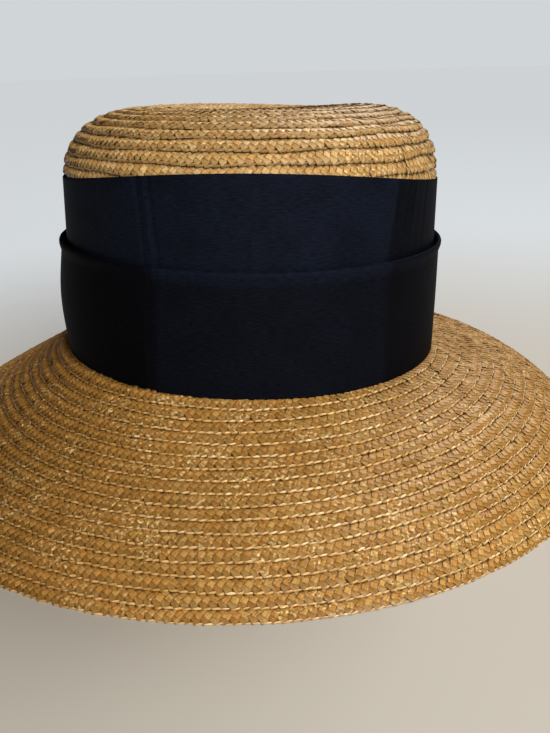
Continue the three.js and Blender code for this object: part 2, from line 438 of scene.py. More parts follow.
def strawMaterial(name):
    finish = strawFinishes[name]
    material, tree, shader = newMaterial(name, finish["roughness"])
    shader.inputs["IOR"].default_value = strawLook["ior"]
    shader.inputs["Specular IOR Level"].default_value = finish["specular"]
    tone = addNode(tree, "ShaderNodeAttribute", attribute_name="tone")
    part = addNode(tree, "ShaderNodeAttribute", attribute_name="part")
    pair = addNode(tree, "ShaderNodeCombineXYZ", {0: tone.outputs["Fac"], 1: part.outputs["Fac"]})
    straw = addNode(tree, "ShaderNodeTexWhiteNoise", {"Vector": pair.outputs[0]}, noise_dimensions="3D")
    place = addNode(tree, "ShaderNodeTexCoord")
    patches = addNode(tree, "ShaderNodeTexNoise", {
        "Vector": place.outputs["Object"], "Scale": 1000 / strawLook["patchMm"], "Detail": 2.0})
    spread = addNode(tree, "ShaderNodeMapRange", {
        "Value": straw.outputs["Value"], "From Min": 0.0, "From Max": 1.0, "To Min": 0.16, "To Max": 0.78})
    mixed = addNode(tree, "ShaderNodeMath", {
        0: patches.outputs["Fac"], 1: 0.25, 2: spread.outputs[0]}, operation="MULTIPLY_ADD")
    # painted light and shade: darker round the left and the back, which lie in shade, and paler round the
    # front and the right, where the light falls; and duller in stretches along a row
    pale = addNode(tree, "ShaderNodeAttribute", attribute_name="pale")
    paintedLight = addNode(tree, "ShaderNodeMapRange", {
        "Value": pale.outputs["Fac"], "To Min": finish["leastLit"], "To Max": 1.0})
    dull = addNode(tree, "ShaderNodeMapRange", {
        "Value": patches.outputs["Fac"], "From Min": 0.4, "From Max": 0.6,
        "To Min": finish["dullest"], "To Max": 1.0})
    fade = addNode(tree, "ShaderNodeMath", {0: paintedLight.outputs[0], 1: dull.outputs[0]}, operation="MULTIPLY")
    lightAndShadeTone = addNode(tree, "ShaderNodeMath", {0: mixed.outputs[0], 1: fade.outputs[0]}, operation="MULTIPLY")
    ramp = addNode(tree, "ShaderNodeValToRGB", {"Fac": lightAndShadeTone.outputs[0]})
    setStops(ramp, finish["tones"])
    # painted light and shade: each part of the repeat is lighter or darker by how much light reaches it,
    # read off a stepped ramp at half value
    share = addNode(tree, "ShaderNodeMath", {
        0: part.outputs["Fac"], 1: 0.25, 2: 0.05}, operation="MULTIPLY_ADD")
    step = addNode(tree, "ShaderNodeValToRGB", {"Fac": share.outputs[0]})
    setStops(step, [(i * 0.25, value / 2) for i, value in enumerate(finish["lightAndShade"])], constant=True)
    # fibre lines run along each petal
    uv = addNode(tree, "ShaderNodeUVMap", uv_map="UVMap")
    drawn = addNode(tree, "ShaderNodeMapping", {
        "Vector": uv.outputs[0], "Scale": (strawLook["fibresAcross"], 0.7, 1.0)})
    apart = addNode(tree, "ShaderNodeVectorMath", {
        0: straw.outputs["Color"], "Scale": 20.0}, operation="SCALE")
    shifted = addNode(tree, "ShaderNodeVectorMath", {
        0: drawn.outputs[0], 1: apart.outputs[0]}, operation="ADD")
    fibres = addNode(tree, "ShaderNodeTexNoise", {"Vector": shifted.outputs[0], "Scale": 1.0, "Detail": 1.0})
    shade = addNode(tree, "ShaderNodeMapRange", {
        "Value": fibres.outputs["Fac"], "From Min": 0.3, "From Max": 0.7, "To Min": 1.5, "To Max": 2.5})
    # painted shade in the grooves: along both sides of a petal and across its ends
    centred = addNode(tree, "ShaderNodeMapping", {
        "Vector": uv.outputs[0], "Location": (-1.0, -1.0, 0.0), "Scale": (2.0, 2.0, 1.0)})
    sided = addNode(tree, "ShaderNodeVectorMath", {0: centred.outputs[0]}, operation="ABSOLUTE")
    axes = addNode(tree, "ShaderNodeSeparateXYZ", {0: sided.outputs[0]})
    sideLine = addNode(tree, "ShaderNodeMapRange", {
        "Value": axes.outputs["X"], "From Min": 0.84, "From Max": 0.96, "To Min": 1.0, "To Max": 0.22})
    endLine = addNode(tree, "ShaderNodeMapRange", {
        "Value": axes.outputs["Y"], "From Min": 0.80, "From Max": 0.98,
        "To Min": 1.0, "To Max": finish["endShade"]})
    outline = addNode(tree, "ShaderNodeMath", {
        0: sideLine.outputs[0], 1: endLine.outputs[0]}, operation="MULTIPLY")
    # painted shadow: the straw that comes out from under the row above is darkened where that row's edge
    # stands over it and shades it
    turned = addNode(tree, "ShaderNodeSeparateXYZ", {0: centred.outputs[0]})
    under = addNode(tree, "ShaderNodeMapRange", {
        "Value": turned.outputs["Y"], "From Min": -0.56, "From Max": -0.2, "To Min": -0.62, "To Max": 0.0})
    upper = addNode(tree, "ShaderNodeMath", {0: part.outputs["Fac"], 1: 0.0, 2: 0.4}, operation="COMPARE")
    gap = addNode(tree, "ShaderNodeMath", {
        0: under.outputs[0], 1: upper.outputs[0], 2: 1.0}, operation="MULTIPLY_ADD")
    # painted shade of the grooves and painted shadow under the row above, together
    paintedShade = addNode(tree, "ShaderNodeMath", {
        0: outline.outputs[0], 1: gap.outputs[0]}, operation="MULTIPLY")
    lined = addNode(tree, "ShaderNodeMath", {
        0: shade.outputs[0], 1: paintedShade.outputs[0]}, operation="MULTIPLY")
    both = addNode(tree, "ShaderNodeMath", {
        0: lined.outputs[0], 1: step.outputs["Color"]}, operation="MULTIPLY")
    # painted glints: small pale specks of painted highlight, gathered in stretches
    stretch = addNode(tree, "ShaderNodeTexNoise", {
        "Vector": place.outputs["Object"], "Scale": 1000 / strawLook["glintMm"], "Detail": 1.0})
    glintStretches = addNode(tree, "ShaderNodeMapRange", {
        "Value": stretch.outputs["Fac"], "From Min": 0.44, "From Max": 0.64, "To Min": 0.1, "To Max": 0.85})
    specks = addNode(tree, "ShaderNodeTexNoise", {
        "Vector": place.outputs["Object"], "Scale": 1000 / strawLook["speckMm"], "Detail": 0.0})
    speck = addNode(tree, "ShaderNodeMapRange", {
        "Value": specks.outputs["Fac"], "From Min": 0.6, "From Max": 0.7})
    shown = addNode(tree, "ShaderNodeMath", {
        0: glintStretches.outputs[0], 1: speck.outputs[0]}, operation="MULTIPLY")
    colour = addNode(tree, "ShaderNodeMix", {
        "Factor": shown.outputs[0], 6: ramp.outputs["Color"], 7: hexColour(strawLook["glint"])},
        data_type="RGBA")
    dimmed = addNode(tree, "ShaderNodeVectorMath", {
        0: colour.outputs[2], "Scale": both.outputs[0]}, operation="SCALE")
    tree.links.new(dimmed.outputs[0], shader.inputs["Base Color"])
    bump = addNode(tree, "ShaderNodeBump", {
        "Height": fibres.outputs["Fac"], "Strength": 0.4, "Distance": 0.0002})
    tree.links.new(bump.outputs[0], shader.inputs["Normal"])
    return material


# The same straw where no petals stand on it: under the brim and inside the crown.
# Chevrons and rows come from the UV map, U in repeats along the row and V in rows.

strawBackLook = {
    "dark": "#946330",
    "pale": "#C9994F",
    "roughness": 0.5,
    "chevronTip": 0.45,  # where in the row the straws turn
    "chevronSlant": 1.5,
}


def strawBackMaterial():
    material, tree, shader = newMaterial("wheatStrawInside", strawBackLook["roughness"])
    shader.inputs["IOR"].default_value = strawLook["ior"]
    uv = addNode(tree, "ShaderNodeUVMap", uv_map="UVMap")
    split = addNode(tree, "ShaderNodeSeparateXYZ", {0: uv.outputs[0]})
    inRow = addNode(tree, "ShaderNodeMath", {0: split.outputs["Y"]}, operation="FRACT")
    away = addNode(tree, "ShaderNodeMath", {
        0: inRow.outputs[0], 1: strawBackLook["chevronTip"]}, operation="SUBTRACT")
    bent = addNode(tree, "ShaderNodeMath", {0: away.outputs[0]}, operation="ABSOLUTE")
    slant = addNode(tree, "ShaderNodeMath", {
        0: bent.outputs[0], 1: strawBackLook["chevronSlant"], 2: split.outputs["X"]},
        operation="MULTIPLY_ADD")
    petal = addNode(tree, "ShaderNodeMath", {0: slant.outputs[0], 1: math.pi}, operation="MULTIPLY")
    wave = addNode(tree, "ShaderNodeMath", {0: petal.outputs[0]}, operation="SINE")
    crest = addNode(tree, "ShaderNodeMath", {0: wave.outputs[0]}, operation="ABSOLUTE")
    number = addNode(tree, "ShaderNodeMath", {0: slant.outputs[0]}, operation="FLOOR")
    row = addNode(tree, "ShaderNodeMath", {0: split.outputs["Y"], 1: 2.0}, operation="MULTIPLY")
    half = addNode(tree, "ShaderNodeMath", {0: row.outputs[0]}, operation="FLOOR")
    pair = addNode(tree, "ShaderNodeCombineXYZ", {0: number.outputs[0], 1: half.outputs[0]})
    straw = addNode(tree, "ShaderNodeTexWhiteNoise", {"Vector": pair.outputs[0]}, noise_dimensions="3D")
    ramp = addNode(tree, "ShaderNodeValToRGB", {"Fac": straw.outputs["Value"]})
    ramp.color_ramp.elements[0].color = hexColour(strawBackLook["dark"])
    ramp.color_ramp.elements[1].color = hexColour(strawBackLook["pale"])
    groove = addNode(tree, "ShaderNodeMapRange", {
        "Value": crest.outputs[0], "From Min": 0.0, "From Max": 0.45, "To Min": 0.45, "To Max": 1.0})
    dimmed = addNode(tree, "ShaderNodeVectorMath", {
        0: ramp.outputs["Color"], "Scale": groove.outputs[0]}, operation="SCALE")
    tree.links.new(dimmed.outputs[0], shader.inputs["Base Color"])
    bump = addNode(tree, "ShaderNodeBump", {
        "Height": crest.outputs[0], "Strength": 0.6, "Distance": 0.0005})
    tree.links.new(bump.outputs[0], shader.inputs["Normal"])
    return material


# Geometry Nodes tree: one plait repeat on each point of a sewn row

def plaitTree():
    tree = bpy.data.node_groups.new("sewnPlait", "GeometryNodeTree")
    sockets = (
        ("Row Points", "INPUT", "NodeSocketGeometry"),
        ("Repeat", "INPUT", "NodeSocketObject"),
        ("Straw", "INPUT", "NodeSocketMaterial"),
        ("Fold Straw", "INPUT", "NodeSocketMaterial"),
        ("Turn Spread", "INPUT", "NodeSocketFloat"),
        ("Size Spread", "INPUT", "NodeSocketFloat"),
        ("Seed", "INPUT", "NodeSocketInt"),
        ("Plait", "OUTPUT", "NodeSocketGeometry"),
    )
    for name, way, kind in sockets:
        tree.interface.new_socket(name=name, in_out=way, socket_type=kind)
    given = addNode(tree, "NodeGroupInput")
    flow = addNode(tree, "GeometryNodeInputNamedAttribute", {"Name": "flow"}, data_type="FLOAT_VECTOR")
    facing = addNode(tree, "GeometryNodeInputNamedAttribute", {"Name": "facing"}, data_type="FLOAT_VECTOR")
    size = addNode(tree, "GeometryNodeInputNamedAttribute", {"Name": "size"}, data_type="FLOAT_VECTOR")
    turn = addNode(tree, "FunctionNodeAxesToRotation", {
        "Primary Axis": facing.outputs["Attribute"], "Secondary Axis": flow.outputs["Attribute"]},
        primary_axis="Z", secondary_axis="X")
    back = addNode(tree, "ShaderNodeMath", {0: given.outputs["Turn Spread"], 1: -1.0}, operation="MULTIPLY")
    wobble = addNode(tree, "FunctionNodeRandomValue", {
        "Seed": given.outputs["Seed"]}, data_type="FLOAT_VECTOR")
    tree.links.new(back.outputs[0], wobble.inputs["Min"])
    tree.links.new(given.outputs["Turn Spread"], wobble.inputs["Max"])
    askew = addNode(tree, "FunctionNodeEulerToRotation", {0: wobble.outputs["Value"]})
    turned = addNode(tree, "FunctionNodeRotateRotation", {
        "Rotation": turn.outputs[0], "Rotate By": askew.outputs[0]}, rotation_space="LOCAL")
    less = addNode(tree, "ShaderNodeMath", {0: 1.0, 1: given.outputs["Size Spread"]}, operation="SUBTRACT")
    more = addNode(tree, "ShaderNodeMath", {0: 1.0, 1: given.outputs["Size Spread"]}, operation="ADD")
    seed = addNode(tree, "ShaderNodeMath", {0: given.outputs["Seed"], 1: 1.0}, operation="ADD")
    grow = addNode(tree, "FunctionNodeRandomValue", {"Seed": seed.outputs[0]}, data_type="FLOAT_VECTOR")
    tree.links.new(less.outputs[0], grow.inputs["Min"])
    tree.links.new(more.outputs[0], grow.inputs["Max"])
    scale = addNode(tree, "ShaderNodeVectorMath", {
        0: size.outputs["Attribute"], 1: grow.outputs["Value"]}, operation="MULTIPLY")
    repeat = addNode(tree, "GeometryNodeObjectInfo", {"Object": given.outputs["Repeat"]})
    laid = addNode(tree, "GeometryNodeInstanceOnPoints", {
        "Points": given.outputs["Row Points"], "Instance": repeat.outputs["Geometry"],
        "Rotation": turned.outputs[0], "Scale": scale.outputs[0]})
    seedTone = addNode(tree, "ShaderNodeMath", {0: given.outputs["Seed"], 1: 2.0}, operation="ADD")
    tone = addNode(tree, "FunctionNodeRandomValue", {"Seed": seedTone.outputs[0]}, data_type="FLOAT")
    toned = addNode(tree, "GeometryNodeStoreNamedAttribute", {
        "Geometry": laid.outputs[0], "Name": "tone", "Value": tone.outputs[1]},
        data_type="FLOAT", domain="INSTANCE")
    real = addNode(tree, "GeometryNodeRealizeInstances", {"Geometry": toned.outputs[0]})
    dressed = addNode(tree, "GeometryNodeSetMaterial", {
        "Geometry": real.outputs[0], "Material": given.outputs["Straw"]})
    part = addNode(tree, "GeometryNodeInputNamedAttribute", {"Name": "part"}, data_type="FLOAT")
    isFold = addNode(tree, "FunctionNodeCompare", {
        "A": part.outputs["Attribute"], "B": cell["foldPart"] - 0.5},
        data_type="FLOAT", operation="GREATER_THAN")
    folded = addNode(tree, "GeometryNodeSetMaterial", {
        "Geometry": dressed.outputs[0], "Selection": isFold.outputs[0],
        "Material": given.outputs["Fold Straw"]})
    addNode(tree, "NodeGroupOutput", {"Plait": folded.outputs[0]})
    return tree


rowLay = {
    "fineStep": math.radians(0.5),  # for measuring along a winding
    "ahead": 0.01,
    "pressedTilt": 0.8,  # shares lost where the band presses on a row
    "pressedDepth": 0.7,
    "narrowest": 0.05,
    "widest": 1.6,
}


# Points every repeat along a winding, with the frame of the row there.
# surface(s, t) gives the place, edge(winding) the row's lower edge, and pressed(place, winding) how far
# the band presses the row flat.
def rowPoints(surface, edge, first, last, lay, pressed):
    def middle(angle):
        return surface((edge(angle) + edge(angle - fullTurn)) / 2, angle)

    fine = np.arange(first, last, rowLay["fineStep"])
    gone = np.linalg.norm(np.diff(middle(fine)[0], axis=0), axis=1)
    gone = np.concatenate([[0.0], np.cumsum(gone)])
    winding = np.interp(np.arange(cell["repeat"] / 2, gone[-1], cell["repeat"]), gone, fine)
    place, slope, out = middle(winding)
    flow = unit(middle(winding + rowLay["ahead"])[0] - place)
    facing = unit(np.cross(slope, flow))
    facing *= np.sign((facing * out).sum(1, keepdims=True))
    downhill = np.cross(flow, facing)
    downhill *= np.sign((downhill * slope).sum(1, keepdims=True))
    width = np.abs(edge(winding - fullTurn) - edge(winding))
    flatness = np.clip(facing[:, 2:], 0, 1)
    under = pressed(place, winding)[:, None]
    lap = lay["lapUpright"] + (lay["lapFlat"] - lay["lapUpright"]) * flatness
    tilt = np.radians(lap) * (1 - rowLay["pressedTilt"] * under)
    deep = lay["deep"] * (1 - rowLay["pressedDepth"] * under[:, 0])
    leaning = facing * np.cos(tilt) - downhill * np.sin(tilt)
    wide = np.clip(width / cell["row"], rowLay["narrowest"], rowLay["widest"])
    size = np.stack([np.ones(len(width)), wide, deep], 1)
    return place + facing * lay["lift"], flow, leaning, size, winding


# Painted light and shade: the straw is painted palest round the front and the right, where the light falls,
# and darker round the left and the back, which lie in shade, from the photo. Angles in degrees
paintedLightSpan = {"darkLeft": -56.0, "paleLeft": 6.0, "paleRight": 95.0, "darkRight": 150.0}


def paintedLightShare(winding):
    angle = np.degrees(fromFront(winding))
    left = smoothStep(paintedLightSpan["darkLeft"], paintedLightSpan["paleLeft"], angle)
    return left * (1 - smoothStep(paintedLightSpan["paleRight"], paintedLightSpan["darkRight"], angle))


def layPlait(name, points, straw, fold, seed):
    place, flow, leaning, size, winding = points
    # the pale mark carries the painted light and shade round the hat
    marks = {"flow": flow, "facing": leaning, "size": size, "pale": paintedLightShare(winding)}
    row = meshObject(name + "Row", place, [], marks)
    modifier = row.modifiers.new("sewnPlait", "NODES")
    modifier.node_group = tree
    values = {
        "Repeat": repeat,
        "Straw": straw,
        "Fold Straw": fold,
        "Turn Spread": math.radians(6.0),
        "Size Spread": 0.08,
        "Seed": seed,
    }
    for socket in tree.interface.items_tree:
        if socket.in_out == "INPUT" and socket.name in values:
            modifier[socket.identifier] = values[socket.name]
    bpy.context.view_layer.update()
    made = bpy.data.meshes.new_from_object(row.evaluated_get(bpy.context.evaluated_depsgraph_get()))
    bpy.data.objects.remove(row)
    made.name = name
    places = np.zeros(len(made.vertices) * 3, np.float32)
    made.vertices.foreach_get("co", places)
    places = places.reshape(-1, 3)
    places[:, 2] = np.maximum(places[:, 2], floorGap * metresPerMm)
    made.vertices.foreach_set("co", places.ravel())
    made.update()
    piece = bpy.data.objects.new(name, made)
    bpy.context.scene.collection.objects.link(piece)
    print(name, len(place), "repeats,", sum(len(p.vertices) - 2 for p in made.polygons), "triangles")
    return piece


# Closed shell swept round the head: outline(t) gives rings of points, a pole where a ring shrinks to a point
def sweptShell(name, outline, around, rowUv):
    t = np.arange(around) / around * fullTurn
    rings = outline(t)
    count = len(rings)
    points = np.concatenate(rings)
    faces, uv = [], []
    for k in range(count - 1):
        for i in range(around):
            j = (i + 1) % around
            faces.append([k * around + i, k * around + j, (k + 1) * around + j, (k + 1) * around + i])
            uv += [(i, k), (i + 1, k), (i + 1, k + 1), (i, k + 1)]
    turn, ring = np.array(uv).T
    uv = np.stack([turn / around * rowUv["repeats"], np.array(rowUv["rows"])[ring]], 1)
    return meshObject(name, points, faces, uv=uv)


repeat = plaitCell()
repeat.hide_render = True
tree = plaitTree()
brimStraw = strawMaterial("wheatStrawBrim")
foldStraw = strawMaterial("wheatStrawFold")
crownStraw = strawMaterial("wheatStrawCrown")
strawBack = strawBackMaterial()

# Band: one length of cloth wrapped in two tiers, in millimetres over the headline.
# Its sizes stand here because it presses the rows of plait behind it.

band = {
    "cloth": 1.0,
    "gap": 0.8,
    "upperFoot": 40.0,
    "upperTop": 90.0,
    "dip": 9.5,
    "edgeRound": 0.35,
    "edgeInset": 0.25,
    "lowerTop": 53.0,
    "lowerWall": 1.2,
    "flare": 0.4,
    "bulgePower": 1.5,
    "rollFrom": 0.9,  # share of the lower tier's height
    "innerTop": 0.97,
    # the lower tier's rolled top edge: share of the height, and how far it stands out
    "roll": (
        (0.92, 0.35), (0.94, 0.75), (0.96, 1.05), (0.978, 1.1), (0.992, 0.85), (1.0, 0.35), (0.996, -0.25)),
    "creaseFoot": 0.4,  # share of a crease's height that is left at the foot
    "creaseInside": 0.6,  # share that shows on the inside
    "pressFrom": -1.5,
    "pressWhole": 2.5,
    "around": 840,
    "steps": 36,
    # the front colour is the painted bluish sheen, the side colour the cloth's own warm black
    "sheenColour": "#10141E",
    "sideColour": "#070608",
    "roughness": 0.65,
    "specular": 0.02,
}


def ringAt(t, offset, z):
    flat, out = ovalPoint(t, 0.0)
    flat = flat + out * np.broadcast_to(offset, t.shape)[:, None]
    return np.concatenate([flat, np.broadcast_to(z, t.shape)[:, None]], 1)


def bandTop(t):
    return band["upperTop"] - band["dip"] * np.sin(t) ** 2


def unpressed(place, winding):
    return np.zeros(len(winding))


# Share of pressing by the band: rows behind it lie flat, those above its top edge stay round
def underBand(place, winding):
    edge = leaned(ringAt(winding, 0.0, bandTop(winding)))[:, 2]
    return smoothStep(band["pressFrom"], band["pressWhole"], edge - place[:, 2])


# Brim plait: sixteen full rows and the last one on the rim
brimPlait = {
    "lapUpright": 8.0,
    "lapFlat": 8.0,
    "lift": 0.05,
    "deep": 1.15,
    "firstWinding": -math.pi,
    "lastWinding": 33 * math.pi,
    "splitTurn": 9,  # two pieces, to keep each one light
    "innerSeed": 11,
    "outerSeed": 23,
}
span = brimPlait["firstWinding"], brimPlait["lastWinding"]
points = rowPoints(brimAt, brimEdge, *span, brimPlait, unpressed)
inner = points[-1] < brimPlait["splitTurn"] * fullTurn
innerPoints = [values[inner] for values in points]
outerPoints = [values[~inner] for values in points]
brimInner = layPlait("brimPlaitInner", innerPoints, brimStraw, foldStraw, brimPlait["innerSeed"])
brimOuter = layPlait("brimPlaitOuter", outerPoints, brimStraw, foldStraw, brimPlait["outerSeed"])

# Crown plait: from the middle of the top down to behind the band
crownPlait = {"lapUpright": 20.0, "lapFlat": 8.0, "deep": 1.6, "lift": 0.05, "middle": 0.8, "seed": 37}
topWinding = (frontRow - (crownLength[-1] - crownPlait["middle"])) / crown["rowStep"] * fullTurn
footWinding = (frontRow - crown["lowestRow"]) / crown["rowStep"] * fullTurn
points = rowPoints(crownAt, crownEdge, topWinding + fullTurn, footWinding, crownPlait, underBand)
crownRows = layPlait("crownPlait", points, crownStraw, crownStraw, crownPlait["seed"])
bpy.data.objects.remove(repeat)

# Brim body: the plait's own thickness under the petals and its stepped underside
brimBody = {
    "under": -0.8,
    "rows": 17,
    "step": 0.35,
    "around": 240,
    "repeats": 250,
    "innerEdge": -3.5,  # slope length, under the headline
    "topRings": 30,
    "topShort": 0.4,  # how far the top, the rim and the underside stop short of the slope's end
    "rimShort": 0.2,
    "underShort": 3.6,
    "lap": 0.35,
}
rowSeam = 0.02  # share of a row's pattern that the step between two rows takes up


def brimRing(s, t, lift):
    place, _, up = brimAt(np.full(len(t), s), t)
    place = place + up * lift
    place[:, 2] = np.maximum(place[:, 2], floorGap)
    return place


def brimOutline(t):
    rings = []
    for s in np.linspace(brimBody["innerEdge"], brim["length"] - brimBody["topShort"], brimBody["topRings"]):
        rings.append(brimRing(s, t, brimBody["under"]))
    rim = brimRing(brim["length"] - brimBody["rimShort"], t, 0.0)
    rim[:, 2] = floorGap
    rings.append(rim)
    rowWidth = (brim["length"] - brimBody["underShort"]) / brimBody["rows"]
    for row in range(brimBody["rows"], 0, -1):
        rings.append(brimRing(row * rowWidth, t, brimBody["step"] - brim["wall"]))
        rings.append(brimRing((row - 1) * rowWidth + brimBody["lap"], t, -brim["wall"]))
    rings.append(brimRing(brimBody["innerEdge"], t, -brim["wall"]))
    rings.append(rings[0].copy())
    return rings[::-1]


rows = [0.0, 0.0]
for row in range(1, brimBody["rows"] + 1):
    rows += [row - 1 + rowSeam, row - rowSeam]
rows += [brimBody["rows"]] + list(np.linspace(brimBody["rows"], 0, brimBody["topRings"]))
rowUv = {"repeats": brimBody["repeats"], "rows": rows}
brimShell = sweptShell("brimBody", brimOutline, brimBody["around"], rowUv)
brimShell.data.materials.append(strawBack)

# Crown body: wall behind the band, backing under the petals, and the hollow inside with its rows
crownBody = {
    "under": -0.8,
    "behindBand": -0.3,
    "inside": -1.9,
    "step": 0.35,
    "around": 200,
    "repeats": 174,
    "rings": 60,
    "foot": 0.9,
    "plainBelow": 4.0,  # the backing starts this far under the lowest row of petals
    "pole": 0.5,
    "lapUpper": 0.3,
    "lapLower": 0.9,
}
crownTop = crownLength[-1] - crownBody["pole"]
crownMiddle = crownLength[-1] - 0.01
insideRows = int(crownTop / crown["rowStep"])


def crownRing(s, t, lift):
    place, _, out = crownAt(np.full(len(t), s), t)
    return place + out * lift


def crownOutline(t):
    rings = []
    plainTop = crown["lowestRow"] - crownBody["plainBelow"]
    for s in np.linspace(crownBody["foot"], crownTop, crownBody["rings"]):
        rings.append(crownRing(s, t, crownBody["behindBand" if s < plainTop else "under"]))
    for lift in (crownBody["under"], crownBody["inside"]):
        rings.append(np.repeat(crownRing(crownMiddle, t[:1], lift), len(t), 0))
    for row in range(insideRows, 0, -1):
        upper = row / insideRows * crownTop - crownBody["lapUpper"]
        lower = (row - 1) / insideRows * crownTop + crownBody["lapLower"]
        rings.append(crownRing(upper, t, crownBody["inside"] - crownBody["step"]))
        rings.append(crownRing(lower, t, crownBody["inside"]))
    rings.append(rings[0].copy())
    return rings


rows = list(np.linspace(0, insideRows, crownBody["rings"])) + [insideRows, insideRows]
for row in range(insideRows, 0, -1):
    rows += [row - rowSeam, row - 1 + rowSeam]
rows += [0.0]
rowUv = {"repeats": crownBody["repeats"], "rows": rows}
crownShell = sweptShell("crownBody", crownOutline, crownBody["around"], rowUv)
crownShell.data.materials.append(strawBack)

# Weld the doubled seams and poles of the shells
weldReach = 0.00001  # metres
for shell in (brimShell, crownShell):
    weld = shell.modifiers.new("weld", "WELD")
    weld.merge_threshold = weldReach
    bpy.context.view_layer.update()
    welded = bpy.data.meshes.new_from_object(shell.evaluated_get(bpy.context.evaluated_depsgraph_get()))
    shell.modifiers.clear()
    shell.data = welded
    print(shell.name, len(welded.polygons), "faces")


# Woven acetate or silk-like ribbon cloth, blue-black: fine crosswise threads, almost no gloss, warm black
# round the sides.
# Its soft bluish sheen between the creases at the front, and the brighter sheen on the lower tier's rolled
# top edge, are painted into the colour.
# Its threads are finer than the render can show, so they are drawn about half a millimetre apart.
def bandMaterial():
    material, tree, shader = newMaterial("bandRibbedCloth", band["roughness"])
    shader.inputs["Specular IOR Level"].default_value = band["specular"]
    uv = addNode(tree, "ShaderNodeUVMap", uv_map="UVMap")
    ribs = addNode(tree, "ShaderNodeMapping", {"Vector": uv.outputs[0], "Scale": (0.3, 2.2, 1.0)})
    threads = addNode(tree, "ShaderNodeTexNoise", {"Vector": ribs.outputs[0], "Scale": 1.0, "Detail": 3.0})
    blotch = addNode(tree, "ShaderNodeTexNoise", {"Vector": uv.outputs[0], "Scale": 0.06, "Detail": 2.0})
    # painted sheen: the bluish sheen is laid into the colour by this mark, uneven in blotches
    paintedSheen = addNode(tree, "ShaderNodeAttribute", attribute_name="paintedSheen")
    uneven = addNode(tree, "ShaderNodeMapRange", {
        "Value": blotch.outputs["Fac"], "From Min": 0.35, "From Max": 0.65, "To Min": 0.7, "To Max": 1.1})
    face = addNode(tree, "ShaderNodeMath", {
        0: paintedSheen.outputs["Fac"], 1: uneven.outputs[0]}, operation="MULTIPLY")
    colour = addNode(tree, "ShaderNodeMix", {
        "Factor": face.outputs[0], 6: hexColour(band["sideColour"]), 7: hexColour(band["sheenColour"])},
        data_type="RGBA")
    weave = addNode(tree, "ShaderNodeMapRange", {
        "Value": threads.outputs["Fac"], "From Min": 0.3, "From Max": 0.7, "To Min": 0.6, "To Max": 1.4})
    woven = addNode(tree, "ShaderNodeVectorMath", {
        0: colour.outputs[2], "Scale": weave.outputs[0]}, operation="SCALE")
    tree.links.new(woven.outputs[0], shader.inputs["Base Color"])
    bump = addNode(tree, "ShaderNodeBump", {
        "Height": threads.outputs["Fac"], "Strength": 0.35, "Distance": 0.0003})
    tree.links.new(bump.outputs[0], shader.inputs["Normal"])
    return material


# Shallow creases: angle, lean from foot to top and half width, in degrees round the head, and height in mm
creases = {
    "upper": (
        (-29.5, -3.0, 0.6, -0.5), (-27.3, -3.0, 0.5, 0.4), (-25.5, -3.5, 0.6, -0.5),
        (41.0, 6.0, 0.7, -0.5), (45.5, 5.5, 0.6, -0.35), (50.0, 5.0, 0.8, 0.3), (57.0, 4.0, 0.7, -0.3)),
    "lower": (
        (-27.0, 1.0, 0.9, -0.45), (-24.0, 2.0, 1.0, 0.3), (38.5, -1.0, 1.0, 0.35), (8.0, -3.0, 3.0, 0.2)),
}
# Painted sheen: where the bluish sheen starts and ends, how soft that is, in degrees, how much of it stays
# at the sides, how strong it is, and how much more painted sheen the rolled top edge gets
sheenPanels = {
    "upper": {
        "from": -27.0, "to": 41.0, "lean": 6.0, "soft": 2.0,
        "left": 1.15, "right": 0.35, "face": 1.0, "roll": 0.0},
    "lower": {
        "from": -26.0, "to": 38.5, "lean": -1.0, "soft": 3.0,
        "left": 0.1, "right": 0.35, "face": 0.5, "roll": 1.0},
}
# The two sides meet at the back over these degrees, and the roll's painted sheen shows over these shares of
# the height
sheenFade = {"back": (80.0, 180.0), "roll": (0.87, 0.95)}


def sheenShareAt(tier, t, part):
    paintedSheen = sheenPanels[tier]
    angle = np.degrees(fromFront(t))
    angle = angle - paintedSheen["lean"] * (part - 0.5) * np.sign(np.sin(t))
    left = smoothStep(paintedSheen["from"] - paintedSheen["soft"], paintedSheen["from"] + paintedSheen["soft"], angle)
    right = 1 - smoothStep(paintedSheen["to"] - paintedSheen["soft"] / 2, paintedSheen["to"] + paintedSheen["soft"] / 2, angle)
    side = np.where(angle < 0, paintedSheen["left"], paintedSheen["right"])
    back = smoothStep(*sheenFade["back"], np.abs(angle))
    side = side + ((paintedSheen["left"] + paintedSheen["right"]) / 2 - side) * back
    roll = paintedSheen["roll"] * smoothStep(*sheenFade["roll"], part)
    return (side + (1 - side) * left * right) * (paintedSheen["face"] + roll)


def creased(tier, t, part):
    angle = np.degrees(fromFront(t))
    out = np.zeros(len(t))
    strength = band["creaseFoot"] + (1 - band["creaseFoot"]) * part
    for at, lean, half, height in creases[tier]:
        out += height * np.exp(-((angle - at - lean * (part - 0.5)) / half) ** 2) * strength
    return out


def bandPiece(name, tier, outline, material):
    t = np.arange(band["around"]) / band["around"] * fullTurn
    rings = outline(t)
    around = len(t)
    points = leaned(np.concatenate(rings))
    faces, uv = [], []
    girth = fullTurn * (head["halfX"] + head["halfY"]) / 2
    heights = [float(ring[0, 2]) for ring in rings]
    lowest, highest = min(heights), max(heights)
    paintedSheen = [sheenShareAt(tier, t, (height - lowest) / (highest - lowest)) for height in heights]
    for k in range(len(rings)):
        following = (k + 1) % len(rings)
        for i in range(around):
            j = (i + 1) % around
            faces.append([k * around + i, k * around + j, following * around + j, following * around + i])
            u0 = i / around * girth
            u1 = (i + 1) / around * girth
            uv += [(u0, heights[k]), (u1, heights[k]), (u1, heights[following]), (u0, heights[following])]
    piece = meshObject(name, points, faces, {"paintedSheen": np.concatenate(paintedSheen)}, uv)
    piece.data.materials.append(material)
    return piece


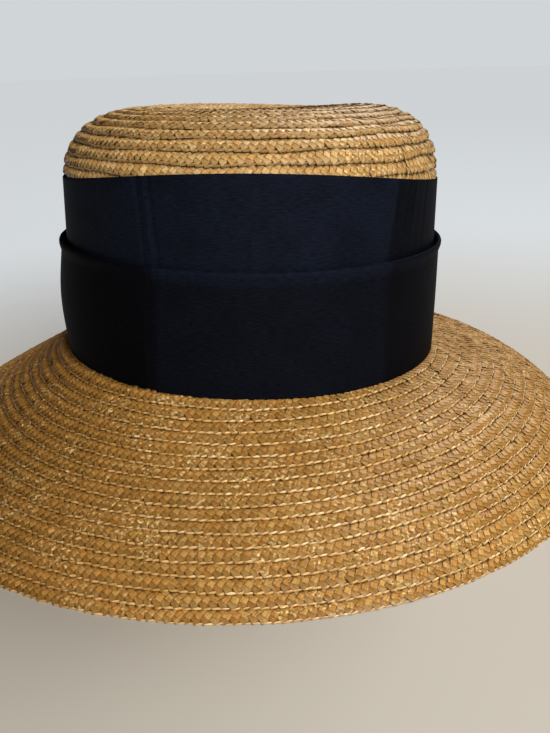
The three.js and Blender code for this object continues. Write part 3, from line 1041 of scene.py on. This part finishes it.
def upperOutline(t):
    rings = []
    top = bandTop(t)
    inner = band["gap"]
    outer = inner + band["cloth"]

    def heightAt(part):
        return band["upperFoot"] + part * (top - band["edgeRound"] - band["upperFoot"])

    for part in np.linspace(0, 1, band["steps"]):
        rings.append(ringAt(t, outer + creased("upper", t, part), heightAt(part)))
    rings.append(ringAt(t, outer - band["edgeInset"] + creased("upper", t, 1.0), top))
    rings.append(ringAt(t, inner + band["edgeInset"], top))
    for part in np.linspace(1, 0, band["steps"]):
        rings.append(ringAt(t, inner + band["creaseInside"] * creased("upper", t, part), heightAt(part)))
    return rings


def lowerOutline(t):
    rings = []
    base = 2 * band["gap"] + band["cloth"]
    bulge = sideValue("bulge", t)
    foot = sideValue("foot", t)

    def addRing(part, out, creaseShare):
        swell = band["flare"] * part + bulge * np.sin(part * math.pi) ** band["bulgePower"]
        z = foot + part * (band["lowerTop"] - foot)
        rings.append(ringAt(t, base + out + swell + creaseShare * creased("lower", t, part), z))

    for part in np.linspace(0, band["rollFrom"], band["steps"]):
        addRing(part, band["lowerWall"], 1.0)
    for part, out in band["roll"]:
        addRing(part, band["lowerWall"] + out, 1.0)
    for part in np.linspace(band["innerTop"], 0, band["steps"]):
        addRing(part, 0.0, band["creaseInside"])
    return rings


bandCloth = bandMaterial()
bandUpper = bandPiece("bandUpper", "upper", upperOutline, bandCloth)
bandLower = bandPiece("bandLower", "lower", lowerOutline, bandCloth)
print("band tiers", len(bandUpper.data.polygons), len(bandLower.data.polygons), "faces")

# Stage: plain pale floor, soft light, and the camera at the photograph's viewing angle

stage = {
    "floorRadius": 6.0,
    "floorSides": 96,
    "floorNear": "#C0B9AC",
    "floorFar": "#34373A",
    "floorRoughness": 0.7,
    "fade": (0.14, 0.7),  # metres from the fade's middle, in front of the hat
    "fadeShift": (-0.06, 0.16, 0.0),
    "backdrop": "#E6EBEE",
    "floorGlow": 0.77,
    "skyLight": "#E2BC84",
    "skyLightStrength": 0.08,
    "backdropStrength": 0.8,
    "cameraAt": (7.04, -433.36, 184.37),
    "cameraForward": (0.0150, 0.9401, -0.3406),
    "cameraRight": (0.9993, -0.0260, -0.0280),
    "focalPixels": 891.1,
    "imageLong": 733,
    "sensor": 36.0,
}


# Warm grey table top, matt, that fades to a pale studio sweep all round
def floorMaterial():
    material, tree, shader = newMaterial("paleTableTop", stage["floorRoughness"])
    shader.inputs["Emission Color"].default_value = hexColour(stage["backdrop"])
    place = addNode(tree, "ShaderNodeTexCoord")
    moved = addNode(tree, "ShaderNodeMapping", {
        "Vector": place.outputs["Object"], "Location": stage["fadeShift"]})
    away = addNode(tree, "ShaderNodeVectorMath", {0: moved.outputs[0]}, operation="LENGTH")
    far = addNode(tree, "ShaderNodeMapRange", {
        "Value": away.outputs["Value"], "From Min": stage["fade"][0], "From Max": stage["fade"][1]},
        interpolation_type="SMOOTHSTEP")
    ramp = addNode(tree, "ShaderNodeValToRGB", {"Fac": far.outputs[0]})
    ramp.color_ramp.elements[0].color = hexColour(stage["floorNear"])
    ramp.color_ramp.elements[1].color = hexColour(stage["floorFar"])
    tree.links.new(ramp.outputs["Color"], shader.inputs["Base Color"])
    glow = addNode(tree, "ShaderNodeMath", {0: far.outputs[0], 1: stage["floorGlow"]}, operation="MULTIPLY")
    tree.links.new(glow.outputs[0], shader.inputs["Emission Strength"])
    return material


turns = np.arange(stage["floorSides"]) / stage["floorSides"] * fullTurn
rim = np.stack([np.cos(turns), np.sin(turns), np.zeros(len(turns))], 1) * stage["floorRadius"] / metresPerMm
floor = meshObject("floor", rim, [list(range(len(rim)))], smooth=False)
floor.data.materials.append(floorMaterial())

# Warm, weak light from all round, and the pale backdrop where the sky itself is seen
world = bpy.data.worlds.new("softDaylight")
world.use_nodes = True
sky = world.node_tree.nodes["Background"]
seen = addNode(world.node_tree, "ShaderNodeLightPath")
tint = addNode(world.node_tree, "ShaderNodeMix", {
    "Factor": seen.outputs["Is Camera Ray"],
    6: hexColour(stage["skyLight"]), 7: hexColour(stage["backdrop"])}, data_type="RGBA")
strength = addNode(world.node_tree, "ShaderNodeMapRange", {
    "Value": seen.outputs["Is Camera Ray"],
    "To Min": stage["skyLightStrength"], "To Max": stage["backdropStrength"]})
world.node_tree.links.new(tint.outputs[2], sky.inputs["Color"])
world.node_tree.links.new(strength.outputs[0], sky.inputs["Strength"])
bpy.context.scene.world = world

# Place and aim in metres, size in metres, watts
lights = {
    "windowRight": {"at": (0.50, -1.11, 0.63), "aim": (0.0, 0.0, 0.06), "size": 0.5, "watts": 15.5},
    "softBehind": {"at": (0.45, 0.7, 1.0), "aim": (0.0, 0.0, 0.06), "size": 0.6, "watts": 10.5},
    "smallFront": {"at": (0.2, -1.05, 0.85), "aim": (0.0, 0.0, 0.06), "size": 0.2, "watts": 2.5},
}
for name, lamp in lights.items():
    data = bpy.data.lights.new(name, "AREA")
    data.size = lamp["size"]
    data.energy = lamp["watts"]
    light = bpy.data.objects.new(name, data)
    light.location = lamp["at"]
    towards = Vector(lamp["aim"]) - Vector(lamp["at"])
    light.rotation_euler = towards.to_track_quat("-Z", "Y").to_euler()
    bpy.context.scene.collection.objects.link(light)

lens = bpy.data.cameras.new("photoCamera")
lens.sensor_width = stage["sensor"]
lens.lens = stage["focalPixels"] / stage["imageLong"] * lens.sensor_width
camera = bpy.data.objects.new("photoCamera", lens)
forward = Vector(stage["cameraForward"]).normalized()
right = Vector(stage["cameraRight"])
right = (right - forward * right.dot(forward)).normalized()
up = right.cross(forward)
turned = Matrix((right, up, -forward)).transposed().to_4x4()
turned.translation = Vector(stage["cameraAt"]) * metresPerMm
camera.matrix_world = turned
bpy.context.scene.collection.objects.link(camera)
bpy.context.scene.camera = camera
bpy.context.scene.view_settings.view_transform = "Standard"
print("stage", len(lights), "lights")

# Bodies and replaced nodes
for piece, node, slot in (
    (brimInner, "brim", "straw_plait"),
    (brimOuter, "brim", "straw_plait"),
    (brimShell, "brim", "straw_plait"),
    (crownRows, "crown", "straw_plait"),
    (crownShell, "crown", "straw_plait"),
    (bandUpper, "band_upper", "band_cloth"),
    (bandLower, "band_lower", "band_cloth"),
):
    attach(piece, "root")
    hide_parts(node)
